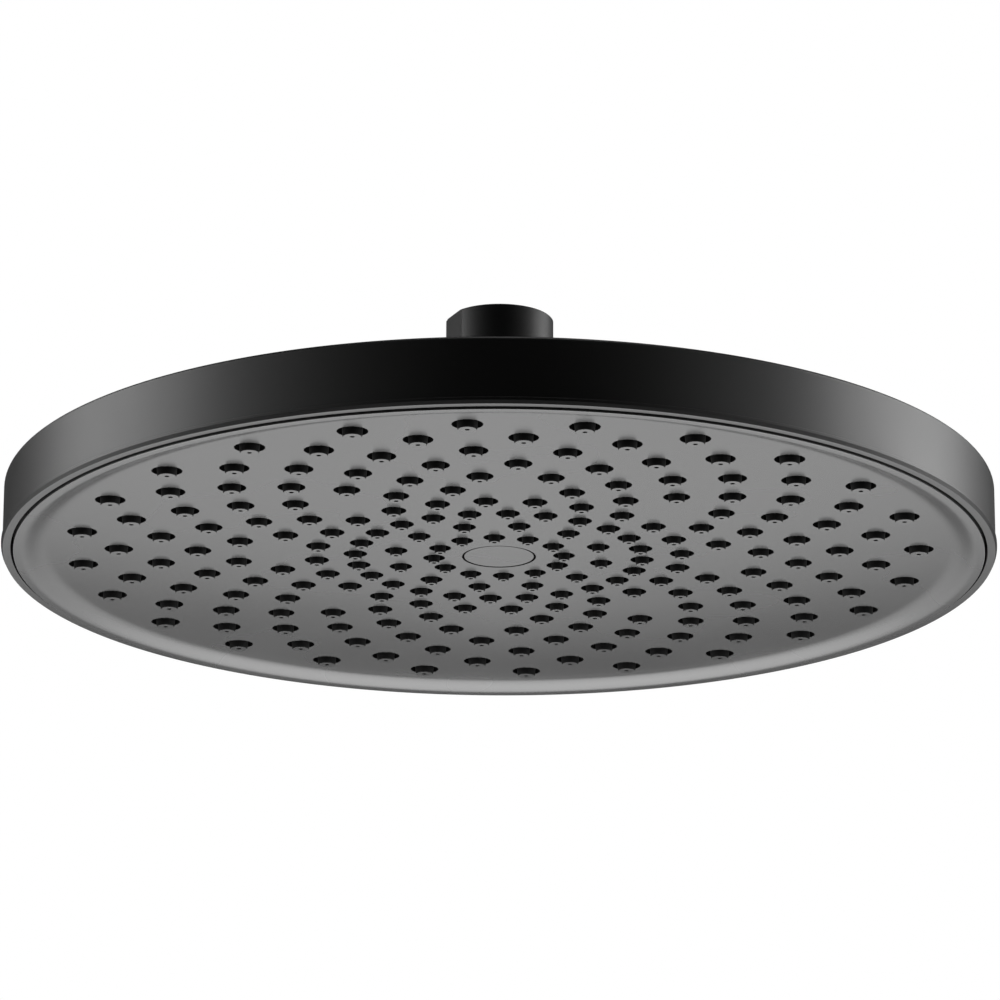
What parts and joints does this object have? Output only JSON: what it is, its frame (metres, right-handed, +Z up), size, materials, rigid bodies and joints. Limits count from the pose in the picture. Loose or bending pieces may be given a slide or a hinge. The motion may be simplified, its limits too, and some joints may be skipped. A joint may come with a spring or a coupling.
{
  "type": "rain shower head",
  "caption": "Round slim rain shower head in satin black, with rings of soft nozzles in a recessed flat face, on a ball joint with a threaded inlet.",
  "frame": {"origin": "centre of the inlet's mouth, where the supply arm screws in", "axes": "+Z up along the inlet's axis, out of the mouth; the spray face looks down along -Z; +X passes through a nozzle of the outermost ring"},
  "size_m": [0.2514, 0.2514, 0.0652],
  "materials": {
    "black_metal": "satin black coating with a fine even grain",
    "black_face": "satin black moulded face with a fine grain",
    "nozzle_rubber": "matt black silicone",
    "black_rubber": "matt black rubber",
    "black_plastic": "plain black moulding",
    "pale_plastic": "natural acetal, slightly waxy",
    "steel": "bright stainless steel"
  },
  "bodies": {
    "inlet": {"inlet_ball": "black_metal", "inlet_washer": "black_rubber", "inlet_screen": "steel", "flow_regulator": "pale_plastic", "regulator_seal": "black_rubber"},
    "seat": {"seat_ring": "pale_plastic"},
    "seal": {"ball_seal": "black_rubber"},
    "head": {"ball_nut": "black_metal", "cover_washer": "black_rubber", "back_cover": "black_metal", "chamber_back": "black_plastic", "chamber_screws": "steel", "nozzle_mat": "nozzle_rubber", "face_plate": "black_face", "centre_seal": "black_rubber", "centre_screw": "steel", "centre_cap": "black_face"}
  },
  "joints": [
    {"name": "tilt_side", "type": "hinge", "parent": "inlet", "child": "seat", "pos_m": [0, 0, -0.0301], "axis": [1, 0, 0], "range_deg": [-12, 12]},
    {"name": "tilt_front", "type": "hinge", "parent": "seat", "child": "seal", "pos_m": [0, 0, -0.0301], "axis": [0, 1, 0], "range_deg": [-12, 12]},
    {"name": "swivel", "type": "hinge", "parent": "seal", "child": "head", "pos_m": [0, 0, -0.0301], "axis": [0, 0, 1], "continuous": true}
  ]
}
